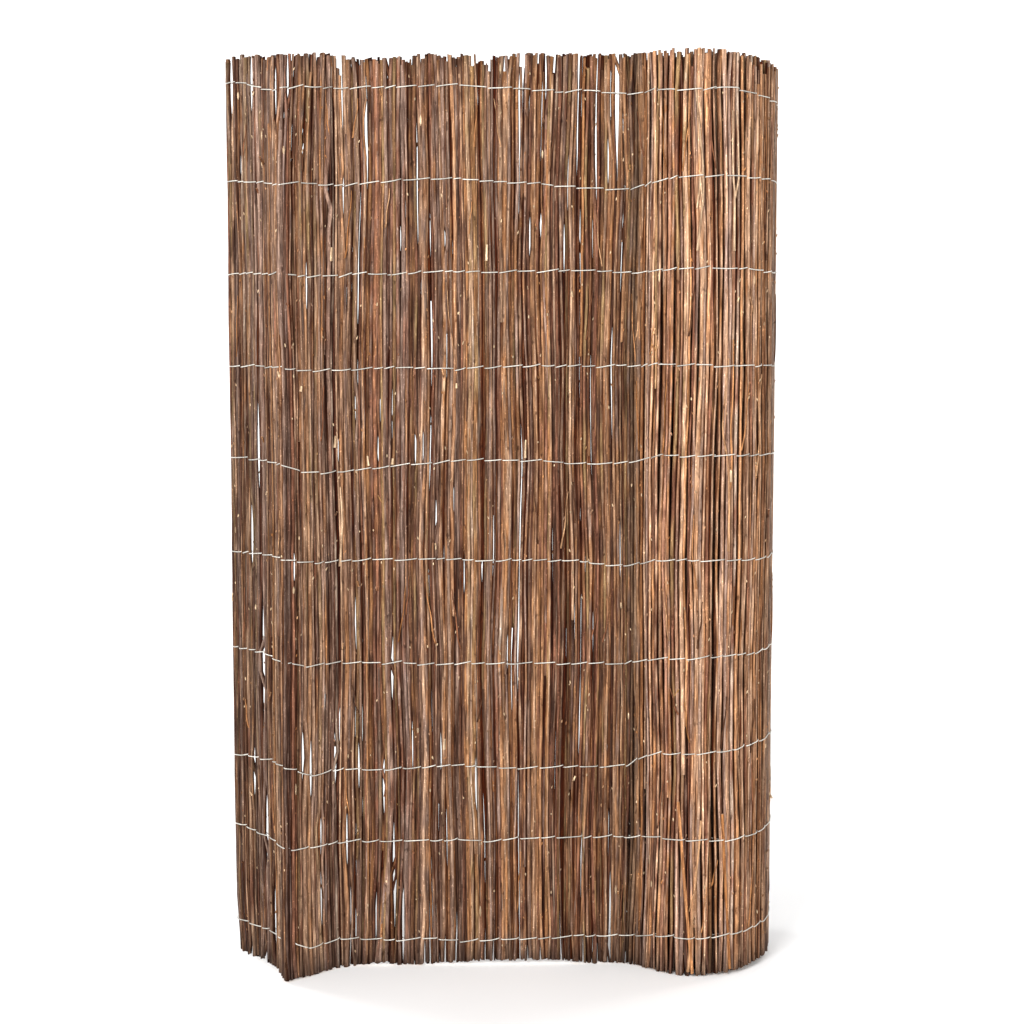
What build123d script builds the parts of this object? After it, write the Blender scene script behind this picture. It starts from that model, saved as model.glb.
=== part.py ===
# Willow screening fence, standing on the cut ends of its rods and partly unrolled.
# The mat is thin willow rods, bound side by side in rows of twisted wire.
# Lengths are in millimetres, with +Z up. The open sheet faces -Y.
import os
from math import asin, cos, degrees, radians, sin

from build123d import *

# The mat and its rods
fence_height = 1500.0
bundle_width = 30.0
rods_per_bundle = 4
rod_overlap = 0.55
rod_growth = 0.25
rod_sway = 0.35
rod_kinds = 11

# Uneven ends: how far the shortest rods stop below the top and above the floor
ragged_top = 26.0
top_levels = 5
ragged_foot = 9.0
foot_levels = 3

# The open sheet, seen from above: how many bundles run on each heading, in degrees.
# It starts at the free edge, comes forward to a fold and goes back to the flat panel.
sheet_headings = [(3, -40), (2, -58), (3, 38), (1, 24), (15, 1.5), (1, -22)]

# The roll, wound inwards and turning to the left, which makes the mat about 5 m long
roll_radius = 130.0
core_radius = 45.0
turn_pitch = 11.0
first_roll_heading = -42.0
ridged_roll_bundles = 26
band_inside = 4.6
band_outside = 2.2
band_under_rods = 1.5
inner_turn_drop = 10.0

# The wire rows, two strands each, that change sides through the gaps between bundles
wire_rows = 10
bottom_row = 55.0
top_row_margin = 65.0
wire_size = 1.4
wire_clearance = 0.05
strand_gap = 0.3
gaps_per_twist = 3
wired_roll_bundles = 25

# The gaps between bundles, each as long as three or four rows
gap_width = 1.9
gap_reach = 38.0
gap_reach_step = 6.0
sharpest_open_turn = 20.0

rod_pitch = bundle_width / rods_per_bundle
thin_rod_radius = rod_pitch / 2 + rod_overlap
thick_rod_radius = thin_rod_radius + 2 * rod_growth
proud_face = thick_rod_radius * cos(radians(30)) + rod_sway
wire_line = proud_face + wire_clearance + wire_size / 2
row_pitch = (fence_height - top_row_margin - bottom_row) / (wire_rows - 1)


def plan_headings():
    """The direction of each bundle, in degrees from +X, from the free edge to the core."""
    headings = []
    for count, heading in sheet_headings:
        headings += [heading] * count
    radius = roll_radius
    heading = first_roll_heading
    while radius > core_radius:
        headings.append(heading)
        turn = 2 * degrees(asin(bundle_width / 2 / radius))
        heading += turn
        radius -= turn_pitch * turn / 360
    return headings


def plan_points(headings):
    """The ends of the bundles along the middle of the mat, with the origin under its middle."""
    points = [(0.0, 0.0)]
    for heading in headings:
        x, y = points[-1]
        points.append((x + bundle_width * cos(radians(heading)), y + bundle_width * sin(radians(heading))))
    mid_x = (min(x for x, _ in points) + max(x for x, _ in points)) / 2
    mid_y = (min(y for _, y in points) + max(y for _, y in points)) / 2
    return [(x - mid_x, y - mid_y) for x, y in points]


headings = plan_headings()
points = plan_points(headings)
sheet_bundles = sum(count for count, _ in sheet_headings)
ridged_bundles = sheet_bundles + ridged_roll_bundles


def turn_at(joint):
    """How much the mat bends where two bundles meet."""
    if joint == 0 or joint == len(headings):
        return 0.0
    return headings[joint] - headings[joint - 1]


def heading_at(joint):
    """The direction along the mat where two bundles meet."""
    return headings[min(joint, len(headings) - 1)] - turn_at(joint) / 2


def beside(joint, distance):
    """The point beside a joint, to the left of the mat's middle line by this distance."""
    x, y = points[joint]
    across = radians(heading_at(joint) + 90)
    reach = distance / cos(radians(turn_at(joint) / 2))
    return (x + reach * cos(across), y + reach * sin(across))


def rod_places(kind):
    """The middles of all rods of one kind, each turned to lie flat in its bundle."""
    places = []
    sway = rod_sway * (kind % 3 - 1)
    for bundle in range(ridged_bundles):
        along = radians(headings[bundle])
        across = along + radians(90)
        for rod in range(rods_per_bundle):
            if ((bundle * rods_per_bundle + rod) * 4) % rod_kinds == kind:
                step = (rod + 0.5) * rod_pitch
                x = points[bundle][0] + step * cos(along) + sway * cos(across)
                y = points[bundle][1] + step * sin(along) + sway * sin(across)
                places.append(Location((x, y, 0), (0, 0, headings[bundle])))
    return places


def row_height(row):
    """The height of a wire row, counted from the lowest."""
    return bottom_row + row * row_pitch


def open_joints():
    """The joints of the open sheet that are straight enough to gape."""
    return [joint for joint in range(1, sheet_bundles) if abs(turn_at(joint)) < sharpest_open_turn]


def gap_spans(joint):
    """The lowest and highest wire row that each gap at this joint takes in."""
    if joint % 2:
        return [(0, 2), (wire_rows - 3, wire_rows - 1)]
    return [(3, wire_rows - 4)]


def twist_joints(row):
    """The gaps of this wire row where its two strands pass each other."""
    gaps = [joint for joint in open_joints() for low, high in gap_spans(joint) if low <= row <= high]
    return gaps[row % gaps_per_twist::gaps_per_twist]


def strand_points(row, side, last_joint):
    """One strand, seen from above: it changes sides at every twist and ends on its own side."""
    twists = twist_joints(row)
    line = []
    for joint in range(last_joint, -1, -1):
        here = beside(joint, side * wire_line)
        if joint in twists:
            line.append(here)
            side = -side
            line.append(beside(joint, side * wire_line))
        elif joint in (0, last_joint) or abs(turn_at(joint)) > 0.01:
            line.append(here)
    return line


def ribbon(line, width):
    """The outline of a strip of this width, mitred along a line of points."""
    path = [Vector(x, y) for x, y in line]
    left = []
    right = []
    for place, point in enumerate(path):
        before = (point - path[place - 1]).normalized() if place else None
        after = (path[place + 1] - point).normalized() if place < len(path) - 1 else None
        along = ((before or after) + (after or before)).normalized()
        reach = width / 2 / along.dot(after or before)
        across = Vector(-along.Y, along.X) * reach
        left.append(point + across)
        right.append(point - across)
    return left + right[::-1]


# The willow mat: ridged rods on the sheet and the outer turn, then the plain inner turns
with BuildPart() as willow_mat:
    lengths = []
    for kind in range(rod_kinds):
        foot = ragged_foot * (kind * 2 % foot_levels) / (foot_levels - 1)
        drop = ragged_top * (kind * 3 % top_levels) / (top_levels - 1)
        with BuildSketch(Plane.XY.offset(foot)):
            with Locations(*rod_places(kind)):
                RegularPolygon(thin_rod_radius + rod_growth * (kind % 3), 6)
        lengths += extrude(amount=fence_height - drop - foot, mode=Mode.PRIVATE).solids()
    with BuildSketch():
        with BuildLine():
            outside = [beside(joint, -band_under_rods) for joint in range(sheet_bundles, ridged_bundles + 1)]
            outside += [beside(joint, -band_outside) for joint in range(ridged_bundles, len(points))]
            inside = [beside(joint, band_inside) for joint in range(sheet_bundles, len(points))]
            Polyline(*outside, *inside[::-1], close=True)
        make_face()
    lengths += extrude(amount=fence_height - inner_turn_drop, mode=Mode.PRIVATE).solids()
    add(lengths, clean=False)
    gaps = []
    for joint in open_joints():
        for lowest, highest in gap_spans(joint):
            reach = gap_reach + gap_reach_step * ((joint * 5 + lowest) % 4)
            length = (highest - lowest) * row_pitch + reach
            middle = (row_height(lowest) + row_height(highest)) / 2
            x, y = points[joint]
            with Locations(Location((x, y, middle), (0, 0, heading_at(joint)))):
                gaps.append(Box(gap_width, 4 * proud_face, length, mode=Mode.PRIVATE))
    add(gaps, mode=Mode.SUBTRACT, clean=False)
willow_mat.part.label = "willow_mat"

os.makedirs("parts", exist_ok=True)
export_step(willow_mat.part, "parts/willow_mat.step")

# The wire rows: strand a ends on the outside of the roll, strand b behind the sheet
for row in range(wire_rows):
    for letter, side, level, last_joint in (
        ("a", -1, 1, sheet_bundles + wired_roll_bundles),
        ("b", 1, -1, sheet_bundles - 2),
    ):
        middle = row_height(row) + level * (strand_gap + wire_size) / 2
        with BuildPart() as strand:
            with BuildSketch(Plane.XY.offset(middle - wire_size / 2)):
                with BuildLine():
                    Polyline(*ribbon(strand_points(row, side, last_joint), wire_size), close=True)
                make_face()
            extrude(amount=wire_size)
        name = f"wire_row_{row + 1:02d}_{letter}"
        strand.part.label = name
        export_step(strand.part, f"parts/{name}.step")
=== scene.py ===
# Looks of the willow fence: every rod, bud, stub and wire strand as a form of its own.
# Lengths are in metres, in the frame's own axes. The plan of the mat is the same as the solids'.
from math import asin, degrees, radians

import bpy
import numpy as np
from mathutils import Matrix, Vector


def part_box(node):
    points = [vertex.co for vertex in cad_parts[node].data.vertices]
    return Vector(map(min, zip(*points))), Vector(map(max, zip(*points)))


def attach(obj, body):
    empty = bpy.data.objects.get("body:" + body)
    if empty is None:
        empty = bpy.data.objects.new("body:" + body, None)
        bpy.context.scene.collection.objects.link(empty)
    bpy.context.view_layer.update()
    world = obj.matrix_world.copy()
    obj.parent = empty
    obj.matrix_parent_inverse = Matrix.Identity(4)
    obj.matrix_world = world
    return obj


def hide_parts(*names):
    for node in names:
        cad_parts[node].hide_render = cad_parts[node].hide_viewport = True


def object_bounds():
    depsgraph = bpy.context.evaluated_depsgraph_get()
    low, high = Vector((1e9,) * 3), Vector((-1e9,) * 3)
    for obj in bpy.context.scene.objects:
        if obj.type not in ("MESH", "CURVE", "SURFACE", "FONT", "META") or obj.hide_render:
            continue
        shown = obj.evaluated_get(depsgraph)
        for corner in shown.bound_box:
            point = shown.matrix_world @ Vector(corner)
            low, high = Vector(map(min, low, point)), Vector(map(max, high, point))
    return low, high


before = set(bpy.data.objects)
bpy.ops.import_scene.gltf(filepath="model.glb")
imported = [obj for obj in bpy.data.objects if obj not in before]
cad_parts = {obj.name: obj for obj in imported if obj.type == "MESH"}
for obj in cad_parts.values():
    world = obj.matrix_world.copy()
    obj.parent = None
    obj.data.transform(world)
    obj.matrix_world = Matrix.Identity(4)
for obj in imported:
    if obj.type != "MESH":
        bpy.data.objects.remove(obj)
cad_bounds = [list(corner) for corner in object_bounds()]
BOX_LOW, BOX_HIGH = np.array(cad_bounds)
chance = np.random.default_rng(27)

# The mat, as in the solids
HEIGHT = BOX_HIGH[2]
BUNDLE = 0.030
SHEET_HEADINGS = [(3, -40), (2, -58), (3, 38), (1, 24), (15, 1.5), (1, -22)]
FIRST_ROLL_HEADING = -42.0
ROLL_RADIUS = 0.130
CORE_RADIUS = 0.045
TURN_PITCH = 0.011
SHOWN_ROLL_BUNDLES = 26
WIRED_ROLL_BUNDLES = 25
WIRE_ROWS = sum(name.endswith("_a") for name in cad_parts)

# Rods: their thickness, and how far their faces may stand from the middle of the mat
ROD_RADIUS = 0.0027
RADIUS_SPREAD = 0.0006
THINNEST_ROD = 0.0017
THICKEST_ROD = 0.0041
BACK_ROD_RADIUS = 0.0028
BACK_ROD_EXTRA = 0.0003
ROD_TAPER = 0.3
KNOT_SWELL = 0.04
WALL_DEPTH = 0.0044
DEPTH_SPREAD = 0.0014
LEAST_DEPTH = 0.0002
ROD_SIDES = 7
ROD_RINGS = 50
INNER_SIDES = 6
INNER_RINGS = 5

# Some rods are two shorter ones, which pass each other, and the lower one ends in a tip
SPLIT_SHARE = 0.22
SPLIT_MARGIN = 0.15
SPLIT_OVERLAP = 0.02
TIP_LENGTH = 0.15
TIP_THINNING = 0.65

# How far a rod stands off its even place, and how much it steps aside from row to row
ROD_STRAY = 0.0005
ROW_STEP = 0.0011
FOOT_STEP = 1.5
TOP_STEP = 2.2
BACK_STEP = 0.55
# The stretch of the mat beside the widest slit, where the rods stand straighter at the top
STRAIGHT_FROM = 0.625
STRAIGHT_TO = 0.69
STRAIGHT_STEP = 0.5

# The few rods that stray far at one end, and the foot of the free edge, which runs inwards
STRAY_SHARE = 0.08
STRAY = 0.0085
STRAY_REACH = 0.30
EDGE_STRAY = 0.014
EDGE_WIDTH = 0.06
EDGE_REACH = 0.12

# How much a rod bows between two wire rows, and how much of that is left at a row
BOW = 0.0005
SWAY = 0.0006
BOUND = 0.3

# The bark's tones: painted shade deep in a crevice, a painted highlight on the faces of the mat, and how
# fast that changes. A rod's second colour comes in patches.
CREVICE = 0.0019
PAINTED_SHADE_TONE = np.array([0.15, 0.052, 0.012])
PAINTED_HIGHLIGHT_TONE = np.array([1.34, 1.49, 1.77])
SHEET_FADE = 0.95
ROLL_FADE = 0.68
PATCH_EDGE = 3.2
PATCH_LEVEL = 0.35

# Wire: its size, its stitches along the mat and how uneven each row is
WIRE_RADIUS = 0.00086
WIRE_SIDES = 5
WIRE_STEP = 0.0026
STITCH = 0.029
STITCH_SPREAD = 0.008
SHORTEST_STITCH = 0.014
LONGEST_STITCH = 0.046
STITCH_SAMPLES = 25
STITCH_MARGIN = 0.001
ROW_DRIFT = 0.0030
DRIFT_STITCHES = 5
DRIFT_GAIN = 1.4
ROW_JITTER = 0.0009

# How far small forms keep off the box of the solids and off the wire rows
BOX_MARGIN = 0.0004
TWIG_MARGIN = 0.002
WIRE_MARGIN = 0.006

# How far each row runs above the even spacing of the solids, from the lowest row up,
# at the free edge, the fold, three places on the flat panel, the roll and its right side
EDGE_RISE = np.array([11, 24, -10, 19, 22, 26, 21, 20, 16, 22]) / 1000
FOLD_RISE = np.array([20, 12, -4, 12, 19, 22, 20, 17, -1, -9]) / 1000
PANEL_RISE = np.array([-4, 10, -24, -1, 11, 9, 16, 11, 7, 1]) / 1000
MIDDLE_RISE = np.array([-9, 6, -26, -3, 17, 23, 21, 24, 17, 12]) / 1000
LAST_RISE = np.array([-6, 8, -27, -7, 4, 18, 22, 24, 0, 1]) / 1000
ROLL_RISE = np.array([4, 15, 10, 10, 22, 31, 23, 22, 18, 1]) / 1000
SIDE_RISE = np.array([20, 22, 19, 19, 20, 32, 25, 24, 17, -6]) / 1000
RISE_PLACES = [0.02, 0.15, 0.19, 0.45, 0.725, 0.785, 0.99]
RISES = np.stack([EDGE_RISE, FOLD_RISE, PANEL_RISE, MIDDLE_RISE, LAST_RISE, ROLL_RISE, SIDE_RISE])


def shade(red, green, blue):
    """A colour given as seen on a screen, 0 to 255, turned into linear light."""
    seen = np.array([red, green, blue]) / 255
    return np.where(seen <= 0.04045, seen / 12.92, ((seen + 0.055) / 1.055) ** 2.4)


TAN = shade(184, 144, 108)
ORANGE = shade(184, 132, 88)
AMBER = shade(158, 108, 66)
RUSSET = shade(136, 90, 64)
DARK = shade(92, 62, 44)
OLIVE = shade(146, 114, 74)
TAUPE = shade(158, 126, 102)
GREY = shade(130, 104, 86)
SILVER = shade(192, 164, 134)
CREAM = shade(236, 208, 170)
BARKS = np.array([TAN, ORANGE, AMBER, RUSSET, DARK, OLIVE, TAUPE, GREY, SILVER])
# Bark gains along the sheet and on the roll; the roll's is partly own colour, partly painted light
SHEET_GAIN = 0.83
EDGE_GAIN = 0.95
GAIN_PER_METRE = 0.20
ROLL_GAIN = 1.24
LEFT_MIX = np.array([18, 7, 8, 18, 9, 5, 25, 7, 3]) / 100
RIGHT_MIX = np.array([21, 16, 17, 19, 7, 8, 10, 1, 1]) / 100
ROLL_MIX = np.array([35, 19, 9, 11, 4, 3, 14, 1, 4]) / 100

# Painted shade on the bark, or painted light where the share is below zero: a place along the mat,
# over what width, and the share of light taken away
VALLEY = (0.734, 0.020, 0.42)
CREASE = (0.7385, 0.004, 0.55)
FOLD = (0.137, 0.020, -0.25)
RIGHT_SIDE = (0.90, 0.10, 0.36)
LEFT_FLANK = (0.19, 0.04, 0.26)
# The height above which the left flank has no painted shade, and over what height that comes in
FLANK_TOP = (1.05, 0.3)
# The rods turn greyer and darker towards their feet: how high that reaches, its share and its tone
FOOT_GREYING = (0.07, 0.7, 0.5)


def plan():
    """The heading of each bundle in degrees, and the ends of the bundles along the mat."""
    headings = []
    for count, heading in SHEET_HEADINGS:
        headings += [heading] * count
    radius, heading = ROLL_RADIUS, FIRST_ROLL_HEADING
    while radius > CORE_RADIUS:
        headings.append(heading)
        turn = 2 * degrees(asin(BUNDLE / 2 / radius))
        heading += turn
        radius -= TURN_PITCH * turn / 360
    headings = np.array(headings, float)
    steps = BUNDLE * np.stack([np.cos(np.radians(headings)), np.sin(np.radians(headings))], 1)
    joints = np.concatenate([np.zeros((1, 2)), np.cumsum(steps, 0)])
    return headings, joints - (joints.min(0) + joints.max(0)) / 2


HEADINGS, JOINTS = plan()
SHEET_BUNDLES = sum(count for count, _ in SHEET_HEADINGS)
SHOWN_BUNDLES = SHEET_BUNDLES + SHOWN_ROLL_BUNDLES
TURNS = np.concatenate([[HEADINGS[0]], (HEADINGS[1:] + HEADINGS[:-1]) / 2, [HEADINGS[-1]]])
ROW_MIDDLES = [(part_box(f"wire_row_{row + 1:02d}_a")[0].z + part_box(f"wire_row_{row + 1:02d}_b")[1].z) / 2
               for row in range(WIRE_ROWS)]
ROW_HEIGHTS = np.array(ROW_MIDDLES) + RISES.mean(0)
ROW_KNOTS = np.concatenate([[0.0], ROW_HEIGHTS, [HEIGHT]])


def row_height(row, along):
    """The height at which a wire row runs at a distance along the mat."""
    return ROW_MIDDLES[row] + np.interp(along, RISE_PLACES, RISES[:, row])


def on_mat(along, depth):
    """Plan points at a distance along the mat, and a depth behind its middle line."""
    place = np.clip(np.asarray(along) / BUNDLE, 0, len(HEADINGS) - 1e-6)
    bundle = place.astype(int)
    share = place - bundle
    heading = np.radians(TURNS[bundle] * (1 - share) + TURNS[bundle + 1] * share)
    over = np.asarray(along) / BUNDLE - place
    x = JOINTS[bundle, 0] * (1 - share) + JOINTS[bundle + 1, 0] * share - depth * np.sin(heading)
    y = JOINTS[bundle, 1] * (1 - share) + JOINTS[bundle + 1, 1] * share + depth * np.cos(heading)
    return x + over * BUNDLE * np.cos(heading), y + over * BUNDLE * np.sin(heading)


def waves(count, shortest, longest, terms=3):
    """Random slow waves along a rod: sizes, lengths and phases, one row for each rod."""
    size = chance.normal(0, 1, (count, terms)) / np.sqrt(terms)
    length = chance.uniform(shortest, longest, (count, terms))
    phase = chance.uniform(0, 2 * np.pi, (count, terms))
    return size, length, phase


def wave_at(wave, z):
    """The waves' value at heights z, an array of one row for each rod."""
    size, length, phase = (part[:, None, :] for part in wave)
    return (size * np.sin(2 * np.pi * z[:, :, None] / length + phase)).sum(2)


# The lean of the weave: size, length along the mat, height and phase of each slow wave
LEANS = [(0.0026, 0.43, 0.90, 0.4), (0.0014, -0.21, 0.55, 2.1), (0.0008, 0.15, -0.40, 4.4)]
LEAN_START = 0.08
SLIT_TAPER = 0.8
# Narrow random slits: from where to where along the mat, up to what height, how wide and how many
SLIT_GROUPS = [(0.01, 0.09, 1.4, 1.0, 3), (0.16, 0.28, 1.4, 1.0, 15),
               (0.28, 0.48, 1.4, 0.7, 10), (0.48, 0.70, 1.1, 0.4, 4)]
# All slits: where along the mat, their middle height, half their length and half their width
SLITS = [(chance.uniform(low, high), chance.uniform(0.05, top), chance.uniform(0.025, 0.060),
          size * chance.uniform(0.0004, 0.0011))
         for low, high, top, size, count in SLIT_GROUPS for _ in range(count)]
# Slits that run out at the top, and slits that run out at the foot
SLITS += [(chance.uniform(0.20, 0.60), HEIGHT, chance.uniform(0.03, 0.06), chance.uniform(0.0004, 0.0009))
          for _ in range(4)]
SLITS += [(chance.uniform(0.01, 0.70), 0.0, chance.uniform(0.04, 0.08), chance.uniform(0.0005, 0.0012))
          for _ in range(9)]
# The larger slits, placed one by one
SLITS += [(0.012, 1.455, 0.070, 0.0016), (0.062, 1.450, 0.065, 0.0014), (0.141, 1.430, 0.070, 0.0013),
          (0.167, 1.445, 0.065, 0.0016), (0.193, 1.345, 0.040, 0.0013), (0.300, 1.385, 0.060, 0.0005),
          (0.337, 1.490, 0.045, 0.0018), (0.591, 1.465, 0.055, 0.0009), (0.706, 1.440, 0.110, 0.0030),
          (0.692, 1.330, 0.060, 0.0008), (0.051, 0.722, 0.080, 0.0014), (0.076, 0.520, 0.130, 0.0015),
          (0.339, 0.500, 0.060, 0.0017), (0.183, 0.370, 0.045, 0.0017), (0.243, 0.350, 0.060, 0.0015),
          (0.324, 0.310, 0.075, 0.0014), (0.340, 0.170, 0.095, 0.0015), (0.355, 0.070, 0.085, 0.0016),
          (0.105, 0.100, 0.085, 0.0013), (0.050, 0.330, 0.060, 0.0014), (0.080, 0.240, 0.075, 0.0015),
          (0.197, 0.340, 0.065, 0.0014), (0.215, 0.235, 0.040, 0.0012),
          (0.262, 0.215, 0.045, 0.0013), (0.283, 0.337, 0.040, 0.0012), (0.310, 0.085, 0.055, 0.0010),
          (0.069, 0.880, 0.095, 0.0013), (0.379, 0.868, 0.047, 0.0011), (0.318, 0.862, 0.036, 0.0010),
          (0.621, 1.189, 0.055, 0.0008), (0.583, 1.226, 0.035, 0.0012), (0.565, 1.207, 0.041, 0.0008)]
# How far each slit steps along the mat for each step in depth, where the mat stands at an angle
SLIT_SKEWS = np.interp([slit[0] for slit in SLITS], [0.0, 0.09, 0.10, 0.15, 0.16, 0.24, 0.27],
                       [-1.2, -1.2, -2.3, -2.3, 0.6, 0.4, 0.0])


def lean_field(along, z):
    """How far the whole weave leans sideways at a place, so that neighbouring rods lean together."""
    lean = np.zeros(np.broadcast(along, z).shape)
    for size, wide, tall, phase in LEANS:
        lean = lean + size * np.sin(2 * np.pi * (along / wide + z / tall) + phase)
    return lean * np.clip(along / LEAN_START, 0, 1)


def between_rows(values, z):
    """Values given at the floor, at each wire row and at the top, run straight in between."""
    place = np.clip(np.searchsorted(ROW_KNOTS, z, "right") - 1, 0, len(ROW_KNOTS) - 2)
    share = (z - ROW_KNOTS[place]) / (ROW_KNOTS[place + 1] - ROW_KNOTS[place])
    here = np.take_along_axis(values, place, 1)
    there = np.take_along_axis(values, place + 1, 1)
    return here * (1 - share) + there * share


def part_slits(along, depth, z, radius):
    """Rods pushed apart at the slits, which taper to nothing at both ends."""
    for (place, middle, reach, half), skew in zip(SLITS, SLIT_SKEWS):
        shape = np.cos(np.clip((z - middle) / reach, -1, 1) * np.pi / 2) ** SLIT_TAPER
        off = along - place - skew * depth
        push = np.clip((radius + half) * np.hypot(1, skew) - np.abs(off), 0, None) * shape
        along = along + np.where(off >= 0, push, -push)
    return along


def rod_places(bundles, outer, inner, split_share):
    """Where rods stand: bundle, step along it, face of the mat, foot and top, and if it ends in a tip.

    Some rods are two shorter ones, the upper one starting a little below the lower one's tip.
    """
    places = []
    for bundle, here, there in zip(bundles, outer, inner):
        for count, face, offset in ((here, -1, 0.5), (there, 1, 0.1 if here else 0.5)):
            for step in range(count):
                spot = (bundle, (step + offset) / count, face)
                if chance.random() < split_share:
                    split = chance.uniform(SPLIT_MARGIN, HEIGHT - SPLIT_MARGIN)
                    places.append((*spot, 0.0, split + SPLIT_OVERLAP, 1))
                    places.append((*spot, split - SPLIT_OVERLAP, HEIGHT, 0))
                else:
                    places.append((*spot, 0.0, HEIGHT, 0))
    return np.array(places, float)


class Rods:
    """A set of rods: where each stands along the mat, and how it bends, thins and colours."""

    def __init__(self, bundles, outer, inner, mixes, split_share):
        """Rods for these bundles, so many on the outside of the mat and so many on its inside."""
        places = rod_places(bundles, outer, inner, split_share)
        total = len(places)
        self.bundle = places[:, 0].astype(int)
        self.face = places[:, 2]
        self.foot, self.top, self.tip = places[:, 3], places[:, 4], places[:, 5]
        self.along = (places[:, 0] + places[:, 1]) * BUNDLE + chance.normal(0, ROD_STRAY, total)
        radius = np.clip(chance.normal(ROD_RADIUS, RADIUS_SPREAD, total), THINNEST_ROD, THICKEST_ROD)
        thicker = np.maximum(radius, BACK_ROD_RADIUS) + BACK_ROD_EXTRA
        self.radius = np.where(self.face > 0, thicker, radius)
        self.depth = self.face * (WALL_DEPTH - self.radius - chance.uniform(0, DEPTH_SPREAD, total))
        self.taper = chance.uniform(-ROD_TAPER, ROD_TAPER, total)
        self.steps = chance.normal(0, ROW_STEP, (total, WIRE_ROWS + 2))
        self.steps[:, 0] *= FOOT_STEP
        self.steps[:, -1] *= TOP_STEP
        self.steps[self.face > 0] *= BACK_STEP
        self.steps[(self.along > STRAIGHT_FROM) & (self.along < STRAIGHT_TO), -2:] *= STRAIGHT_STEP
        self.foot_stray = (chance.random(total) < STRAY_SHARE) * chance.normal(0, STRAY, total)
        self.top_stray = (chance.random(total) < STRAY_SHARE) * chance.normal(0, STRAY, total)
        self.bow = waves(total, 0.12, 0.4)
        self.sway = waves(total, 0.2, 0.7)
        self.knots = waves(total, 0.02, 0.09, 4)
        mixes = mixes[self.bundle - min(bundles)]
        pick = (chance.uniform(0, 1, (total, 1)) > np.cumsum(mixes, 1)).sum(1).clip(0, len(BARKS) - 1)
        other = (chance.uniform(0, 1, (total, 1)) > np.cumsum(mixes, 1)).sum(1).clip(0, len(BARKS) - 1)
        sheet_gain = SHEET_GAIN * (EDGE_GAIN + GAIN_PER_METRE * self.along)
        gain = np.where(self.bundle >= SHEET_BUNDLES, ROLL_GAIN, sheet_gain)[:, None]
        self.bark = BARKS[pick] * chance.uniform(0.70, 1.28, (total, 1)) * gain
        self.second_bark = BARKS[other] * chance.uniform(0.8, 1.2, (total, 1)) * gain
        self.patches = waves(total, 0.04, 0.3)

    def where(self, z):
        """Along the mat, depth and radius of each rod at heights z, one row for each rod."""
        row = np.interp(z, ROW_HEIGHTS, np.arange(WIRE_ROWS))
        loose = BOUND + (1 - BOUND) * np.abs(np.sin(np.pi * row))
        far_low = np.clip(1 - z / STRAY_REACH, 0, 1)
        far_high = np.clip(1 - (HEIGHT - z) / STRAY_REACH, 0, 1)
        leans = lean_field(self.along[:, None], ROW_KNOTS[None, :])
        bowed = BOW * loose * wave_at(self.bow, z)
        along = self.along[:, None] + between_rows(leans + self.steps, z) + bowed
        along = along + far_low * self.foot_stray[:, None] + far_high * self.top_stray[:, None]
        at_edge = np.clip(1 - self.along / EDGE_WIDTH, 0, 1)[:, None]
        along = along + EDGE_STRAY * at_edge * np.clip(1 - z / EDGE_REACH, 0, 1)
        along = np.maximum(along, self.radius[:, None])
        radius = self.radius[:, None] * (1 + self.taper[:, None] * (z / HEIGHT - 0.5) * 2)
        near_tip = 1 - np.clip((self.top[:, None] - z) / TIP_LENGTH, 0, 1)
        radius = radius * (1 + KNOT_SWELL * wave_at(self.knots, z))
        radius = radius * (1 - self.tip[:, None] * TIP_THINNING * near_tip)
        along = part_slits(along, self.depth[:, None], z, radius)
        depth = self.depth[:, None] + SWAY * loose * wave_at(self.sway, z)
        limit = np.maximum(WALL_DEPTH - radius, LEAST_DEPTH)
        return along, np.clip(depth, -limit, limit), radius

    def light_near(self, place, width, share):
        """How much light is left for each rod, where a share is taken away near a place."""
        return 1 - share * np.exp(-((self.along - place) / width) ** 2)

    def colours(self, z):
        """The bark's colour at heights z: greyer and darker at the foot, painted shade where light is
        short.
        """
        patch = 1 / (1 + np.exp(-PATCH_EDGE * (wave_at(self.patches, z) - PATCH_LEVEL)))[:, :, None]
        tone = self.bark[:, None, :] * (1 - patch) + self.second_bark[:, None, :] * patch
        reach, greying, grey_tone = FOOT_GREYING
        foot = np.clip(1 - z / reach, 0, 1)[:, :, None] * greying
        tone = tone * (1 - foot) + foot * grey_tone * GREY
        # Painted shade near the valley, the crease, the roll's right side and the left flank; painted light
        # on the fold
        place, width, share = RIGHT_SIDE
        right_side = 1 - share * np.clip((self.along - place) / width, 0, 1)
        side = self.light_near(*VALLEY) * self.light_near(*CREASE) * right_side * self.light_near(*FOLD)
        place, width, share = LEFT_FLANK
        top, height = FLANK_TOP
        flank = np.clip((place - self.along) / width, 0, 1)[:, None] * np.clip((top - z) / height, 0, 1)
        return tone * side[:, None, None] * (1 - share * flank)[:, :, None]


def mesh_object(name, points, faces, colours, materials, material_index, smooth):
    """A mesh object from arrays, with a bark colour on each point."""
    mesh = bpy.data.meshes.new(name)
    mesh.from_pydata(points.tolist(), [], faces)
    for material in materials:
        mesh.materials.append(material)
    mesh.polygons.foreach_set("material_index", np.asarray(material_index, np.int32))
    mesh.polygons.foreach_set("use_smooth", np.asarray(smooth, bool))
    layer = mesh.attributes.new("bark", "FLOAT_COLOR", "POINT")
    opaque = np.concatenate([colours, np.ones((len(colours), 1))], 1)
    layer.data.foreach_set("color", opaque.astype(np.float32).ravel())
    mesh.update()
    piece = bpy.data.objects.new(name, mesh)
    bpy.context.scene.collection.objects.link(piece)
    return piece


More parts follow.
